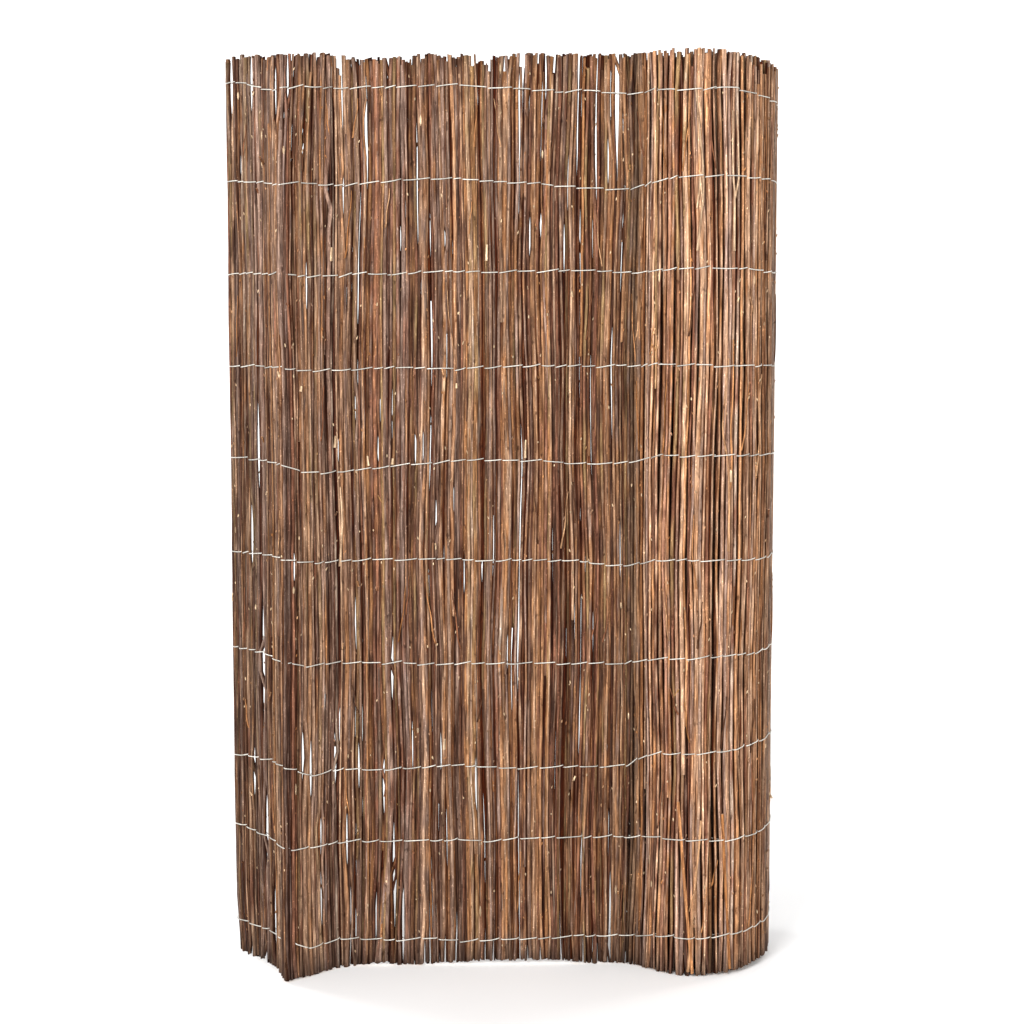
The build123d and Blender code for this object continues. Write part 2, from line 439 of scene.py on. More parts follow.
def tubes(centres, radii, sides, slant=None, level=True):
    """Points and quads of many tubes at once, each with flat ends.

    centres is tubes by rings by 3 and radii is tubes by rings. Level rings suit upright tubes,
    and otherwise each ring stands square to its tube.
    """
    count, rings, _ = centres.shape
    angle = np.arange(sides) / sides * 2 * np.pi
    if level:
        across = np.broadcast_to([1.0, 0.0, 0.0], centres.shape)
        beyond = np.broadcast_to([0.0, 1.0, 0.0], centres.shape)
    else:
        way = np.gradient(centres, axis=1)
        way = way / np.linalg.norm(way, axis=2, keepdims=True)
        lead = np.where(np.abs(way[..., 2:3]) > 0.9, [1.0, 0.0, 0.0], [0.0, 0.0, 1.0])
        across = np.cross(way, lead)
        across /= np.linalg.norm(across, axis=2, keepdims=True)
        beyond = np.cross(way, across)
    ring = (across[:, :, None, :] * np.cos(angle)[None, None, :, None]
            + beyond[:, :, None, :] * np.sin(angle)[None, None, :, None])
    points = centres[:, :, None, :] + radii[:, :, None, None] * ring
    if slant is not None:
        for end, column in ((0, 0), (-1, 1)):
            points[:, end, :, 2] += slant[:, column, None] * np.cos(angle + slant[:, 2 + column, None])
    points = points.reshape(-1, 3)
    first = (np.arange(count) * rings * sides)[:, None]
    start = first[:, None, :] + (np.arange(rings - 1) * sides)[None, :, None]
    here = start + np.arange(sides)[None, None, :]
    beside = start + ((np.arange(sides) + 1) % sides)[None, None, :]
    quads = np.stack([here, beside, beside + sides, here + sides], 3).reshape(-1, 4).tolist()
    foot = first + np.arange(sides)[None, :]
    ends = foot[:, ::-1].tolist() + (foot + (rings - 1) * sides).tolist()
    return points, quads, ends


def tube_object(name, parts, colours, materials, end_material=1):
    """One piece of tubes, smooth along their sides, with flat ends of their own material."""
    points, quads, ends = parts
    kinds = [0] * len(quads) + [end_material] * len(ends)
    smooth = [True] * len(quads) + [False] * len(ends)
    return mesh_object(name, points, quads + ends, colours, materials, kinds, smooth)


# A small step through the mat, and how far a rod's ends are cut aslant, as a share of its radius
PROBE = 0.001
END_TILT = 0.35


def make_rods(name, rods, sides, rings, chosen=slice(None), fade=SHEET_FADE):
    """One piece of these rods, with bark along their sides and cut wood on their ends.

    The bark has a painted highlight on the faces of the mat and painted shade deep between its rods.
    """
    share = np.linspace(0, 1, rings)[None, :]
    z = rods.foot[:, None] + (rods.top - rods.foot)[:, None] * share
    along, depth, radius = (part[chosen] for part in rods.where(z))
    tones = rods.colours(z)[chosen]
    z = z[chosen]
    x, y = on_mat(along, depth)
    inner_x, inner_y = on_mat(along, depth + PROBE)
    centres = np.stack([x, y, z], 2)
    count = len(z)
    tilt = chance.uniform(0, END_TILT, (count, 2)) * radius[:, [0, -1]]
    slant = np.concatenate([tilt, chance.uniform(0, 2 * np.pi, (count, 2))], 1)
    centres[:, 0, 2] += tilt[:, 0]
    centres[:, -1, 2] -= tilt[:, 1]
    angle = np.arange(sides) / sides * 2 * np.pi
    across = (inner_x - x)[:, :, None] * np.cos(angle) + (inner_y - y)[:, :, None] * np.sin(angle)
    # Painted light: painted shade deep between the rods, a painted highlight where a point stands proud on
    # a face
    proud = np.abs(depth[:, :, None] + radius[:, :, None] * across / PROBE)
    wear_and_painted_light = np.clip((proud - CREVICE) / (WALL_DEPTH - CREVICE), 0, 1)[..., None] ** fade
    colours = (tones[:, :, None, :] * (PAINTED_SHADE_TONE + (PAINTED_HIGHLIGHT_TONE - PAINTED_SHADE_TONE) * wear_and_painted_light)).reshape(-1, 3)
    return tube_object(name, tubes(centres, radius, sides, slant), colours, [bark, cut_wood])


def node(tree, kind, inputs=None, **settings):
    """A shader node with its settings and its unlinked input values."""
    made = tree.nodes.new(kind)
    for key, value in settings.items():
        setattr(made, key, value)
    for key, value in (inputs or {}).items():
        made.inputs[key].default_value = value
    return made


def new_material(name):
    """An empty node material: its tree and its Principled shader."""
    material = bpy.data.materials.new(name)
    material.use_nodes = True
    tree = material.node_tree
    return material, tree, tree.nodes["Principled BSDF"]


def stretched_noise(tree, across, upward, detail=3.0, rough=0.55):
    """Noise with grain of these counts per metre, across a rod and up it."""
    place = node(tree, "ShaderNodeTexCoord")
    scaled = node(tree, "ShaderNodeMapping", {"Scale": (across, across, upward)})
    noise = node(tree, "ShaderNodeTexNoise", {"Scale": 1.0, "Detail": detail, "Roughness": rough})
    tree.links.new(place.outputs["Object"], scaled.inputs["Vector"])
    tree.links.new(scaled.outputs["Vector"], noise.inputs["Vector"])
    return noise.outputs["Fac"]


def ramp(tree, source, low, high, low_value, high_value):
    """A value that goes from low_value to high_value as the source goes from low to high."""
    made = node(tree, "ShaderNodeMapRange", {"From Min": low, "From Max": high,
                                             "To Min": low_value, "To Max": high_value})
    tree.links.new(source, made.inputs["Value"])
    return made.outputs["Result"]


def mixed(tree, share, first, second, blend="MIX"):
    """Two colours mixed; each may be a socket or a plain colour."""
    made = node(tree, "ShaderNodeMix", data_type="RGBA", blend_type=blend)
    for key, value in ((0, share), (6, first), (7, second)):
        if isinstance(value, bpy.types.NodeSocket):
            tree.links.new(value, made.inputs[key])
        elif key == 0:
            made.inputs[key].default_value = value
        else:
            made.inputs[key].default_value = (*value, 1.0)
    return made.outputs[2]


# Colours that the bark is multiplied by, and the plain colours of the other materials
STREAK_DARK = (0.32, 0.25, 0.22)
STREAK_LIGHT = (1.5, 1.45, 1.4)
GRAIN_DARK = (0.55, 0.47, 0.42)
BLOOM = (1.0, 1.10, 1.25)
SPECK = (2.2, 2.3, 2.4)
SCAR = (0.22, 0.16, 0.13)
PALE_WOOD = tuple(shade(222, 182, 140))
WOOD_GRAIN = tuple(shade(184, 136, 98))
WORN_WOOD = tuple(shade(132, 98, 78))
ZINC = tuple(shade(244, 240, 230))
ZINC_STAIN = tuple(shade(196, 188, 176))
FLOOR_SHADE = (0.86, 0.86, 0.86)
FLOOR_LIGHT = (0.90, 0.90, 0.90)


def bark_material():
    """Dry willow bark: each rod's own colour with streaks, fine grain, grey bloom, specks and scars."""
    material, tree, shader = new_material("willow_bark")
    own = node(tree, "ShaderNodeAttribute", attribute_name="bark").outputs["Color"]
    streaks = stretched_noise(tree, 420, 24, 4.0, 0.6)
    fine = stretched_noise(tree, 1300, 90, 3.0, 0.6)
    bloom = stretched_noise(tree, 150, 14, 3.0, 0.6)
    specks = stretched_noise(tree, 620, 260, 2.0, 0.5)
    scars = stretched_noise(tree, 160, 70, 2.0, 0.5)
    darker = mixed(tree, ramp(tree, streaks, 0.38, 0.60, 0.85, 0.0), own, STREAK_DARK, "MULTIPLY")
    lighter = mixed(tree, ramp(tree, streaks, 0.50, 0.70, 0.0, 0.8), darker, STREAK_LIGHT, "MULTIPLY")
    grained = mixed(tree, ramp(tree, fine, 0.35, 0.68, 0.0, 0.55), lighter, GRAIN_DARK, "MULTIPLY")
    greyed = mixed(tree, ramp(tree, bloom, 0.54, 0.72, 0.0, 0.8), grained, BLOOM, "MULTIPLY")
    speckled = mixed(tree, ramp(tree, specks, 0.64, 0.70, 0.0, 1.0), greyed, SPECK, "MULTIPLY")
    scarred = mixed(tree, ramp(tree, scars, 0.36, 0.26, 0.0, 0.75), speckled, SCAR, "MULTIPLY")
    tree.links.new(scarred, shader.inputs["Base Color"])
    tree.links.new(ramp(tree, fine, 0.3, 0.7, 0.50, 0.85), shader.inputs["Roughness"])
    shader.inputs["Specular IOR Level"].default_value = 0.08
    relief = node(tree, "ShaderNodeMath", operation="ADD")
    tree.links.new(streaks, relief.inputs[0])
    tree.links.new(fine, relief.inputs[1])
    bump = node(tree, "ShaderNodeBump", {"Strength": 0.5, "Distance": 0.0005})
    tree.links.new(relief.outputs[0], bump.inputs["Height"])
    tree.links.new(bump.outputs["Normal"], shader.inputs["Normal"])
    return material


def cut_wood_material():
    """Pale dry wood on cut ends, with fine grain and darker weathering."""
    material, tree, shader = new_material("cut_wood")
    grain = stretched_noise(tree, 900, 900, 3.0, 0.6)
    weather = stretched_noise(tree, 120, 120, 2.0, 0.5)
    pale = mixed(tree, ramp(tree, grain, 0.3, 0.7, 0.0, 1.0), PALE_WOOD, WOOD_GRAIN)
    wear_and_painted_light = mixed(tree, ramp(tree, weather, 0.4, 0.7, 0.0, 0.6), pale, WORN_WOOD)
    tree.links.new(wear_and_painted_light, shader.inputs["Base Color"])
    shader.inputs["Roughness"].default_value = 0.85
    bump = node(tree, "ShaderNodeBump", {"Strength": 0.4, "Distance": 0.0003})
    tree.links.new(grain, bump.inputs["Height"])
    tree.links.new(bump.outputs["Normal"], shader.inputs["Normal"])
    return material


def wire_material():
    """Dull galvanised wire, light, with darker zinc stains."""
    material, tree, shader = new_material("galvanised_wire")
    greying = stretched_noise(tree, 300, 300, 3.0, 0.6)
    colour = mixed(tree, ramp(tree, greying, 0.40, 0.72, 0.0, 1.0), ZINC, ZINC_STAIN)
    own = node(tree, "ShaderNodeAttribute", attribute_name="bark").outputs["Color"]
    tree.links.new(mixed(tree, 1.0, colour, own, "MULTIPLY"), shader.inputs["Base Color"])
    tree.links.new(ramp(tree, greying, 0.3, 0.7, 0.34, 0.6), shader.inputs["Roughness"])
    shader.inputs["Metallic"].default_value = 0.2
    return material


def floor_material():
    """A plain, nearly white studio floor."""
    material, tree, shader = new_material("studio_floor")
    cloud = stretched_noise(tree, 1.5, 1.5, 2.0, 0.5)
    tone = mixed(tree, ramp(tree, cloud, 0.3, 0.7, 0.0, 1.0), FLOOR_SHADE, FLOOR_LIGHT)
    tree.links.new(tone, shader.inputs["Base Color"])
    shader.inputs["Roughness"].default_value = 0.9
    return material


bark = bark_material()
cut_wood = cut_wood_material()
wire = wire_material()
floor_paint = floor_material()


def mix_for(bundle):
    """The share of each bark colour in a bundle: greyer at the free end, warmer on the roll."""
    if bundle >= SHEET_BUNDLES:
        return ROLL_MIX
    share = bundle / SHEET_BUNDLES
    return LEFT_MIX * (1 - share) + RIGHT_MIX * share


# How far the rods stop below the top, and above the floor, at distances along the mat
TOP_LINE = ([0.04, 0.09, 0.15, 0.21, 0.27, 0.34, 0.38, 0.80, 0.88, 0.99, 1.05, 1.20],
            [0.0, 0.008, 0.018, 0.006, 0.003, 0.008, 0.0, 0.0, 0.003, 0.015, 0.010, 0.004])
FOOT_LINE = ([0.0, 0.12, 0.145, 0.28, 0.32, 0.35, 0.48, 0.62, 0.67, 0.84, 0.90, 0.96, 1.05, 1.20],
             [0.009, 0.008, 0.0, 0.0, 0.004, 0.0, 0.006, 0.006, 0.0, 0.0, 0.004, 0.008, 0.007, 0.002])


# How much single ends are lifted or cut short, besides those lines, and those of the inner turns
LIFT = 0.004
FLANK_END = 0.13
FLANK_LIFT = 2.5
BUNDLE_CUT = 0.007
ROD_CUT = 0.004
SHORT_SHARE = 0.10
INNER_GROWTH = 1.2
INNER_DEPTH = 0.5
INNER_DROP = 0.004
INNER_CUT = 0.006


def shown_rods(first, last, inner_low, inner_high):
    """The rods of the bundles that show, from the first to before the last."""
    bundles = np.arange(first, last)
    outer = chance.choice([4, 5, 5, 5, 5], len(bundles))
    inner = chance.integers(inner_low, inner_high, len(bundles))
    rods = Rods(bundles, outer, inner, np.array([mix_for(bundle) for bundle in bundles]), SPLIT_SHARE)
    total = len(rods.bundle)
    lifted = chance.uniform(0.0, LIFT, total) * np.where(rods.along < FLANK_END, FLANK_LIFT, 1.0)
    lifted = np.interp(rods.along, *FOOT_LINE) + lifted
    rods.foot = np.where(rods.foot > 0, rods.foot, lifted)
    cut = chance.normal(0, BUNDLE_CUT, last - first)[rods.bundle - first]
    short = np.abs(cut + chance.normal(0, ROD_CUT, total))
    short += np.where(chance.random(total) < SHORT_SHARE, chance.uniform(0.01, 0.03, total), 0)
    short += np.interp(rods.along, *TOP_LINE)
    rods.top = np.where(rods.top < HEIGHT, rods.top, HEIGHT - short)
    return rods


def for_rods(piece):
    """Attaches a piece to the root body, and hides the willow mat's solid, whose look the piece gives."""
    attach(piece, "root")
    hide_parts("willow_mat")


sheet_rods = shown_rods(0, SHEET_BUNDLES, inner_low=6, inner_high=7)
roll_rods = shown_rods(SHEET_BUNDLES, SHOWN_BUNDLES, inner_low=2, inner_high=4)

inner_bundles = np.arange(SHOWN_BUNDLES, len(HEADINGS))
inner_rods = Rods(inner_bundles, np.full(len(inner_bundles), 4), np.zeros(len(inner_bundles), int),
                  np.array([ROLL_MIX] * len(inner_bundles)), 0)
inner_rods.radius *= INNER_GROWTH
inner_rods.depth *= INNER_DEPTH
inner_rods.top = HEIGHT - INNER_DROP - np.abs(chance.normal(0, INNER_CUT, len(inner_rods.bundle)))
inner_rods.foot = chance.uniform(0, LIFT, len(inner_rods.bundle))

for_rods(make_rods("sheet_front_rods", sheet_rods, ROD_SIDES, ROD_RINGS, sheet_rods.face < 0))
for_rods(make_rods("sheet_back_rods", sheet_rods, ROD_SIDES, ROD_RINGS, sheet_rods.face > 0))
for_rods(make_rods("roll_outer_rods", roll_rods, ROD_SIDES, ROD_RINGS, fade=ROLL_FADE))
for_rods(make_rods("roll_inner_rods", inner_rods, INNER_SIDES, INNER_RINGS))

# Small forms on the rods: their sides, how many places a rod offers, how many point up, and how
# deep they sit in the bark as a share of their radius
SPINDLE_SIDES = 5
SPOTS_PER_ROD = 6
UPWARD_SHARE = 0.8
SUNK = 0.3
BUD_TONE = 1.3


def spindles(name, bases, ways, lengths, radii, colours, profile, end_material):
    """Many small tapering forms in one piece, such as buds and the stubs of cut twigs."""
    share = np.linspace(0, 1, len(profile))
    centres = bases[:, None, :] + ways[:, None, :] * (lengths[:, None] * share)[..., None]
    forms = tubes(centres, radii[:, None] * np.array(profile), SPINDLE_SIDES, level=False)
    tones = np.repeat(colours, len(profile) * SPINDLE_SIDES, 0)
    return tube_object(name, forms, tones, [bark, cut_wood], end_material)


def spots_on(rods, each, spread):
    """Random points on the outer sides of rods, the way straight out of the bark, and its own colour."""
    share = chance.uniform(0.02, 0.98, (len(rods.foot), each))
    z = rods.foot[:, None] + (rods.top - rods.foot)[:, None] * share
    along, depth, radius = rods.where(z)
    turn = chance.normal(0, spread, z.shape)
    x, y = on_mat(along, depth)
    out_x, out_y = on_mat(along + np.sin(turn) * radius, depth + rods.face[:, None] * np.cos(turn) * radius)
    way = np.stack([out_x - x, out_y - y, np.zeros_like(x)], 2)
    way /= np.linalg.norm(way, axis=2, keepdims=True)
    spots = np.stack([out_x, out_y, z], 2)
    rows = np.stack([row_height(row, along) for row in range(WIRE_ROWS)], 2)
    clear = np.abs(z[..., None] - rows).min(2) > WIRE_MARGIN
    clear &= (rods.face[:, None] < 0) | (rods.bundle[:, None] < SHEET_BUNDLES)
    return spots[clear], way[clear], rods.colours(z)[clear]


def inside(bases, ways, lengths, radii):
    """Which of these small forms stay inside the box of the solids."""
    tips = bases + ways * lengths[:, None]
    lowest = np.minimum(bases, tips) - radii[:, None]
    highest = np.maximum(bases, tips) + radii[:, None]
    return ((lowest > BOX_LOW + BOX_MARGIN) & (highest < BOX_HIGH - BOX_MARGIN)).all(1)


def make_spindles(name, count, spread, rise, length, radius, pale, profile, end_material):
    """Buds or stubs scattered over all rods that show."""
    found = [spots_on(rods, SPOTS_PER_ROD, spread) for rods in (sheet_rods, roll_rods)]
    spots, ways, tones = (np.concatenate([part[i] for part in found]) for i in range(3))
    lengths = chance.uniform(*length, len(spots))
    radii = chance.uniform(*radius, len(spots))
    up = np.where(chance.random(len(spots)) < UPWARD_SHARE, 1.0, -1.0)[:, None] * np.array([0, 0, 1.0])
    aslant = ways * rise + up
    aslant /= np.linalg.norm(aslant, axis=1, keepdims=True)
    bases = spots - ways * radii[:, None] * SUNK
    chosen = chance.permutation(np.flatnonzero(inside(bases, aslant, lengths, radii)))[:count]
    light = (chance.random(len(spots)) < pale)[:, None]
    colours = np.where(light, CREAM * chance.uniform(0.6, 1.1, (len(spots), 1)), tones * BUD_TONE)
    piece = spindles(name, bases[chosen], aslant[chosen], lengths[chosen], radii[chosen], colours[chosen],
                     profile, end_material)
    for_rods(piece)


make_spindles("buds", 2400, spread=0.7, rise=0.45, length=(0.0032, 0.0070), radius=(0.0009, 0.0015),
              pale=0.40, profile=(0.55, 1.0, 0.75, 0.15), end_material=0)
make_spindles("cut_stubs", 120, spread=0.8, rise=0.6, length=(0.006, 0.016), radius=(0.0011, 0.0018),
              pale=0.25, profile=(1.25, 1.0, 0.95, 0.9), end_material=1)
make_spindles("pale_scars", 70, spread=0.3, rise=0.03, length=(0.009, 0.020), radius=(0.0013, 0.0021),
              pale=1.0, profile=(0.3, 0.95, 1.0, 0.3), end_material=0)


def along_at(x):
    """The distance along the mat's front, where the plan's x is this."""
    last = int(np.argmax(JOINTS[:, 0]))
    return np.interp(x, JOINTS[:last + 1, 0], np.arange(last + 1) * BUNDLE)


# Loose rods, twigs and larger scars on the front: points as x and z, radii at both ends, how far
# they stand proud, and colour
LOOSE = [
    ([(0.286, 0.29), (0.298, 0.14), (0.310, 0.006)], 0.0024, 0.0028, 0.0012, ORANGE * 1.3),
    ([(0.322, 0.26), (0.312, 0.13), (0.303, 0.008)], 0.0022, 0.0026, 0.0004, TAN * 1.2),
    ([(0.356, 0.27), (0.362, 0.16), (0.371, 0.010)], 0.0024, 0.0025, 0.0012, AMBER * 1.3),
    ([(0.362, 0.700), (0.3625, 0.790), (0.360, 0.850), (0.350, 0.885), (0.351, 0.930), (0.359, 1.010)],
     0.0024, 0.0011, 0.0016, TAN * 1.2),
    ([(0.363, 0.800), (0.367, 0.850), (0.362, 0.890), (0.367, 0.960), (0.366, 1.040)],
     0.0018, 0.0010, 0.0018, ORANGE * 1.2),
    ([(0.364, 0.812), (0.3635, 0.832)], 0.0023, 0.0020, 0.0030, CREAM),
    ([(0.366, 1.180), (0.366, 1.269), (0.3625, 1.300), (0.361, 1.400)],
     0.0020, 0.0012, 0.0026, SILVER * 1.3),
    ([(0.366, 1.262), (0.3725, 1.295), (0.368, 1.400)], 0.0016, 0.0010, 0.0028, SILVER * 1.3),
    ([(0.309, 1.180), (0.319, 1.288), (0.304, 1.438)], 0.0021, 0.0013, 0.0022, SILVER * 1.15),
    ([(0.3075, 1.246), (0.3105, 1.268), (0.3120, 1.296)], 0.0015, 0.0019, 0.0032, SILVER * 1.3),
    ([(0.3170, 1.250), (0.3145, 1.272), (0.3120, 1.292)], 0.0011, 0.0015, 0.0032, SILVER * 1.3),
    ([(0.408, 0.820), (0.415, 0.880), (0.411, 0.930), (0.416, 0.985)], 0.0018, 0.0008, 0.0012, TAN),
    ([(0.312, 0.640), (0.304, 0.700), (0.307, 0.760)], 0.0016, 0.0008, 0.0012, ORANGE),
    ([(-0.278, 1.166), (-0.277, 1.188)], 0.0026, 0.0018, 0.0013, CREAM),
    ([(-0.268, 0.672), (-0.263, 0.740), (-0.266, 0.802)], 0.0020, 0.0014, 0.0012, SILVER * 1.25),
    ([(-0.181, 0.838), (-0.180, 0.848)], 0.0024, 0.0016, 0.0013, CREAM),
    ([(-0.219, 0.836), (-0.221, 0.852)], 0.0018, 0.0012, 0.0013, CREAM),
    ([(-0.076, 0.962), (-0.076, 0.970)], 0.0022, 0.0016, 0.0013, CREAM),
    ([(-0.324, 0.957), (-0.323, 0.966)], 0.0022, 0.0016, 0.0013, CREAM),
    ([(-0.027, 1.168), (-0.026, 1.194)], 0.0025, 0.0016, 0.0013, CREAM),
    ([(-0.274, 0.866), (-0.273, 0.885)], 0.0025, 0.0017, 0.0012, CREAM),
    ([(0.036, 0.848), (0.037, 0.878)], 0.0021, 0.0013, 0.0013, CREAM),
    ([(-0.098, 0.366), (-0.097, 0.384)], 0.0023, 0.0014, 0.0012, CREAM),
]
LOOSE_RINGS = 14
LOOSE_SIDES = 7


def make_loose():
    """The loose rods and twigs, and where each passes under a wire row."""
    under = []
    parts = []
    for corners, first, last, proud, colour in LOOSE:
        corners = np.array(corners)
        steps = np.linspace(0, len(corners) - 1, LOOSE_RINGS)
        x, z = (np.interp(steps, np.arange(len(corners)), corners[:, i]) for i in range(2))
        for _ in range(2):
            x[1:-1] = (x[:-2] + 2 * x[1:-1] + x[2:]) / 4
        radius = np.linspace(first, last, len(x))
        depth = -(WALL_DEPTH - radius + proud)
        along = along_at(x)
        parts.append((*on_mat(along, depth), z, radius, colour))
        for row in range(WIRE_ROWS):
            height = row_height(row, along.mean())
            if z.min() < height < z.max():
                order = np.argsort(z)
                crossing = [np.interp(height, z[order], values[order]) for values in (along, depth, radius)]
                under.append((row, crossing))
    centres = np.stack([np.stack(part[:3], 1) for part in parts])
    rods = tubes(centres, np.stack([part[3] for part in parts]), LOOSE_SIDES, level=False)
    tones = np.repeat(np.stack([part[4] for part in parts]), LOOSE_RINGS * LOOSE_SIDES, 0)
    for_rods(tube_object("loose_rods", rods, tones, [bark, cut_wood]))
    return under


# Side twigs: rings and sides, radii at both ends, how wavy they are, how deep they root, how far
# above a wire row they may start and end, and how many bundles of the roll they reach
TWIG_RINGS = 9
TWIG_SIDES = 5
TWIG_BASE = 0.0014
TWIG_TIP = 0.0006
TWIG_CURL = 0.0008
TWIG_ROOT = 0.0016
TWIG_FOOT = 0.008
TWIG_REACH = 0.13
TWIG_ROLL_BUNDLES = 14


def make_twigs(count):
    """Thin side twigs that cross the rods between two wire rows, on the sheet's faces and the roll."""
    row = chance.integers(0, WIRE_ROWS - 1, count)
    length = chance.uniform(0.04, 0.12, count)
    foot = ROW_HEIGHTS[row] + TWIG_FOOT + chance.random(count) * (TWIG_REACH - length)
    start = chance.uniform(0.02, (SHEET_BUNDLES + TWIG_ROLL_BUNDLES) * BUNDLE, count)
    face = np.where((start > SHEET_BUNDLES * BUNDLE) | (chance.random(count) < 0.6), -1.0, 1.0)
    aside = chance.choice([-1, 1], count) * chance.uniform(0.003, 0.014, count)
    share = np.linspace(0, 1, TWIG_RINGS)[None, :]
    z = foot[:, None] + length[:, None] * share
    curl = TWIG_CURL * np.sin(9 * share + row[:, None])
    along = start[:, None] + aside[:, None] * share ** 0.8 + curl
    radius = np.linspace(TWIG_BASE, TWIG_TIP, TWIG_RINGS)[None, :] * chance.uniform(0.8, 1.2, (count, 1))
    depth = face[:, None] * (WALL_DEPTH + radius * 0.6 - TWIG_ROOT * (1 - share) ** 6)
    x, y = on_mat(along, depth)
    low, high = BOX_LOW + TWIG_MARGIN, BOX_HIGH - TWIG_MARGIN
    kept = ((x > low[0]) & (x < high[0]) & (y > low[1]) & (y < high[1])).all(1)
    twigs = tubes(np.stack([x, y, z], 2)[kept], radius[kept], TWIG_SIDES, level=False)
    tones = np.repeat(BARKS[chance.integers(0, 5, int(kept.sum()))] * 1.1, TWIG_RINGS * TWIG_SIDES, 0)
    for_rods(tube_object("side_twigs", twigs, tones, [bark, cut_wood]))


loose_under_rows = make_loose()
make_twigs(110)


def stitches(last):
    """Where the strands of a row pass each other: uneven steps along the mat."""
    ends = [0.0]
    while ends[-1] < last - 0.02:
        step = np.clip(chance.normal(STITCH, STITCH_SPREAD), SHORTEST_STITCH, LONGEST_STITCH)
        ends.append(ends[-1] + float(step))
    ends[-1] = last
    return np.array(ends)


def row_line(row, ends):
    """The height of a wire row at each crossing: slow drift and a little unevenness."""
    even = np.ones(DRIFT_STITCHES) / DRIFT_STITCHES
    steps = np.convolve(chance.normal(0, ROW_DRIFT, len(ends)), even, "same") * DRIFT_GAIN
    return row_height(row, ends) + steps + chance.normal(0, ROW_JITTER, len(ends))


def taut_line(start, stop, side, rods_here):
    """The points of a strand drawn tight over the rods of one stitch, on the front or the back."""
    along, depth, radius = rods_here
    mine = (along > start - STITCH_MARGIN) & (along < stop + STITCH_MARGIN)
    along, depth, radius = along[mine], depth[mine], radius[mine]
    samples = np.linspace(start, stop, STITCH_SAMPLES)[1:-1]
    reach = radius[:, None] + WIRE_RADIUS
    gap = reach ** 2 - (samples[None, :] - along[:, None]) ** 2
    over = np.where(gap > 0, side * depth[:, None] + np.sqrt(np.clip(gap, 0, None)), 0)
    over = over.max(0) if len(over) else np.zeros(len(samples))
    hull = [(start, 0.0)]
    for point in list(zip(samples, over)) + [(stop, 0.0)]:
        while len(hull) > 1:
            (ax, ay), (bx, by) = hull[-2], hull[-1]
            if (bx - ax) * (point[1] - ay) - (by - ay) * (point[0] - ax) < 0:
                break
            hull.pop()
        hull.append(point)
    return [(s, side * d) for s, d in hull]


def strand_points(strand, ends, heights, rises, falls, sags, rods_here):
    """One strand's line: in front of every second stitch and behind the others.

    It comes out to the front a little low, and goes back in a little high.
    """
    line = []
    for stitch in range(len(ends) - 1):
        front = (stitch + strand) % 2 == 0
        here = heights[stitch] + (-falls[stitch] if front else rises[stitch])
        there = heights[stitch + 1] + (rises[stitch + 1] if front else -falls[stitch + 1])
        for s, d in taut_line(ends[stitch], ends[stitch + 1], -1 if front else 1, rods_here)[:-1]:
            share = (s - ends[stitch]) / (ends[stitch + 1] - ends[stitch])
            line.append((s, d, here * (1 - share) + there * share - sags[stitch] * 4 * share * (1 - share)))
    line.append((ends[-1], 0.0, there))
    return np.array(line)


def resampled(line, step):
    """The line again with points evenly spaced, and its corners eased."""
    length = np.concatenate([[0], np.cumsum(np.linalg.norm(np.diff(line, axis=0), axis=1))])
    even = np.linspace(0, length[-1], max(int(length[-1] / step), 4))
    made = np.stack([np.interp(even, length, line[:, axis]) for axis in range(3)], 1)
    for _ in range(2):
        made[1:-1] = (made[:-2] + 2 * made[1:-1] + made[2:]) / 4
    return made


def make_row(row):
    """The two strands of one row, each its own piece in place of its solid."""
    ends = stitches((SHEET_BUNDLES + WIRED_ROLL_BUNDLES) * BUNDLE)
    heights = row_line(row, ends)
    rises, falls = chance.uniform(0.0006, 0.0022, (2, len(ends)))
    sags = chance.uniform(-0.0006, 0.0018, len(ends))
    crossings = [place for crossed, place in loose_under_rows if crossed == row]
    met = [[[place[part] for place in crossings] for part in range(3)]]
    for rods in (roll_rods, sheet_rods):
        level = np.full((len(rods.bundle), 1), ROW_HEIGHTS[row])
        there = (rods.foot < ROW_HEIGHTS[row]) & (rods.top > ROW_HEIGHTS[row])
        met.insert(0, [part[there, 0] for part in rods.where(level)])
    rods_here = [np.concatenate(parts) for parts in zip(*met)]
    for strand, letter in enumerate("ab"):
        flat = strand_points(strand, ends, heights, rises, falls, sags, rods_here)
        x, y = on_mat(flat[:, 0], flat[:, 1])
        line = resampled(np.stack([x, y, flat[:, 2]], 1), WIRE_STEP)
        line = np.clip(line, BOX_LOW + WIRE_RADIUS, BOX_HIGH - WIRE_RADIUS)
        tube = tubes(line[None], np.full((1, len(line)), WIRE_RADIUS), WIRE_SIDES, level=False)
        name = f"{row + 1:02d}_{letter}"
        shine = 0.78 + 0.22 * np.sin(line[:, 0] * 23 + row * 2.3) * np.sin(line[:, 0] * 61 + row)
        colours = np.repeat(np.repeat(shine[:, None], 3, 1), WIRE_SIDES, 0)
        piece = tube_object("strand_" + name, tube, colours, [wire], end_material=0)
        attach(piece, "root")
        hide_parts("wire_row_" + name)


for row in range(WIRE_ROWS):
    make_row(row)


# The floor: where it starts and bends up, the sweep's radius, its half width and its top
FLOOR_START = -6.0
FLOOR_BEND = 3.0
SWEEP = 2.0
FLOOR_SIDE = 9.0
BACKDROP_TOP = 8.0


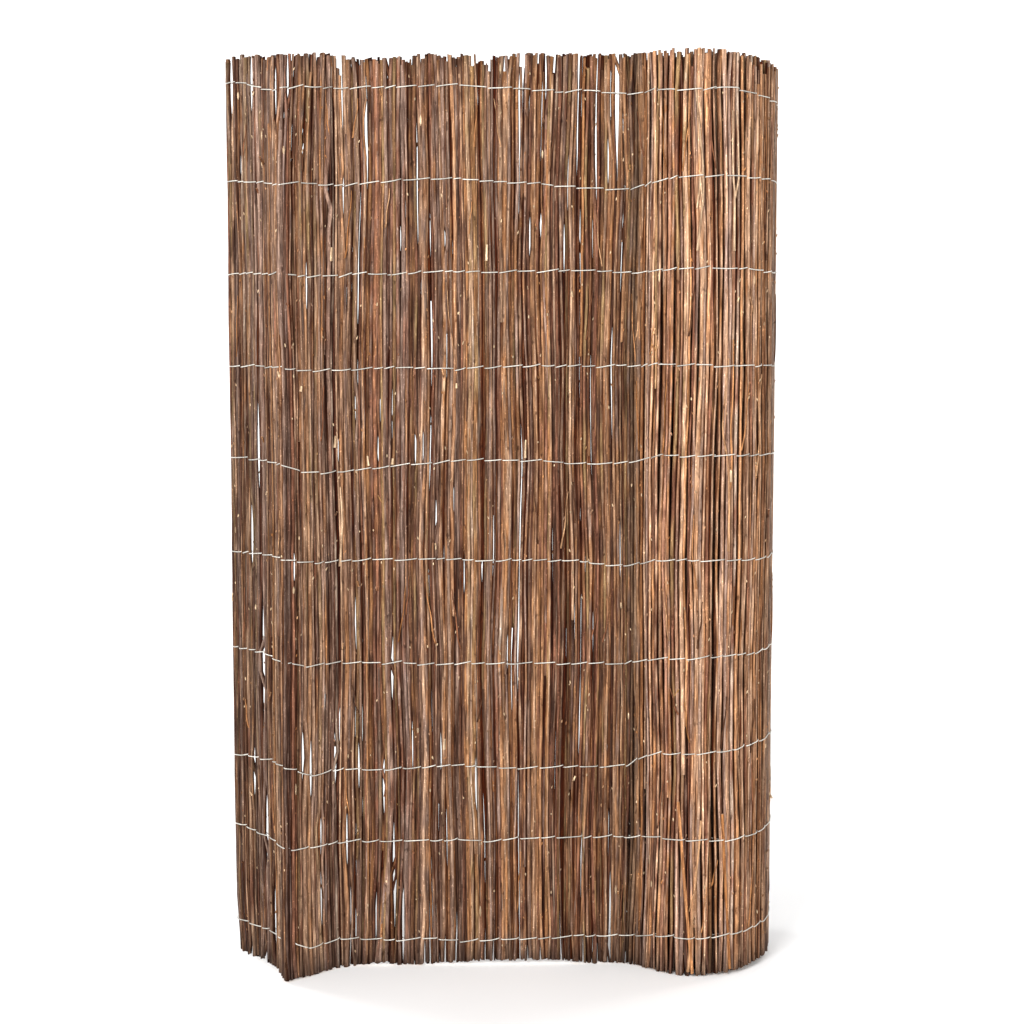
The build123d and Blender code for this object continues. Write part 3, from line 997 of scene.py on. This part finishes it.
def make_stage():
    """A pale floor that sweeps up behind, and even white light from all around."""
    run = [(FLOOR_START, 0.0), (FLOOR_BEND, 0.0)]
    run += [(FLOOR_BEND + SWEEP * np.sin(turn), SWEEP - SWEEP * np.cos(turn))
            for turn in np.linspace(0.15, np.pi / 2, 10)]
    run += [(FLOOR_BEND + SWEEP, BACKDROP_TOP)]
    points = [(x, y, z) for y, z in run for x in (-FLOOR_SIDE, FLOOR_SIDE)]
    faces = [(2 * i, 2 * i + 1, 2 * i + 3, 2 * i + 2) for i in range(len(run) - 1)]
    floor = mesh_object("studio_floor", np.array(points), faces, np.ones((len(points), 3)), [floor_paint],
                        [0] * len(faces), [True] * len(faces))
    world = bpy.data.worlds.new("studio")
    world.use_nodes = True
    world.node_tree.nodes["Background"].inputs["Color"].default_value = (1.0, 1.0, 1.0, 1.0)
    world.node_tree.nodes["Background"].inputs["Strength"].default_value = 0.62
    bpy.context.scene.world = world


def area_light(name, place, target, size, power):
    """A square soft light that looks at its target."""
    light = bpy.data.lights.new(name, "AREA")
    light.size = size
    light.energy = power
    lamp = bpy.data.objects.new(name, light)
    bpy.context.scene.collection.objects.link(lamp)
    lamp.location = place
    way = np.array(target) - np.array(place)
    lamp.rotation_euler = Vector(way).to_track_quat("-Z", "Y").to_euler()


OBJECT_MIDDLE = (0.1, 0.0, 0.7)
CAMERA_PLACE = (0.0146, -2.4424, 0.9813)
CAMERA_TILT = 3.72
CAMERA_LENS = 51.2
CAMERA_SENSOR = 36
CAMERA_SHIFT = -0.04

make_stage()
area_light("key", (-1.5, -2.8, 2.1), OBJECT_MIDDLE, size=1.3, power=105)
area_light("fill", (2.4, -2.4, 1.4), OBJECT_MIDDLE, size=2.0, power=22)
area_light("roll_light", (0.75, -2.5, 1.3), (0.34, 0.0, 0.75), size=0.5, power=16)
for name, side in (("backdrop_left", -1), ("backdrop_right", 1)):
    area_light(name, (side * 3.2, 1.6, 3.4), (side * 1.0, 5.0, 1.5), size=2.0, power=130)

lens = bpy.data.cameras.new("camera")
lens.lens = CAMERA_LENS
lens.sensor_width = CAMERA_SENSOR
lens.shift_y = CAMERA_SHIFT
camera = bpy.data.objects.new("camera", lens)
camera.location = CAMERA_PLACE
camera.rotation_euler = (radians(90 - CAMERA_TILT), 0, 0)
bpy.context.scene.collection.objects.link(camera)
bpy.context.scene.camera = camera
bpy.context.scene.view_settings.view_transform = "Standard"
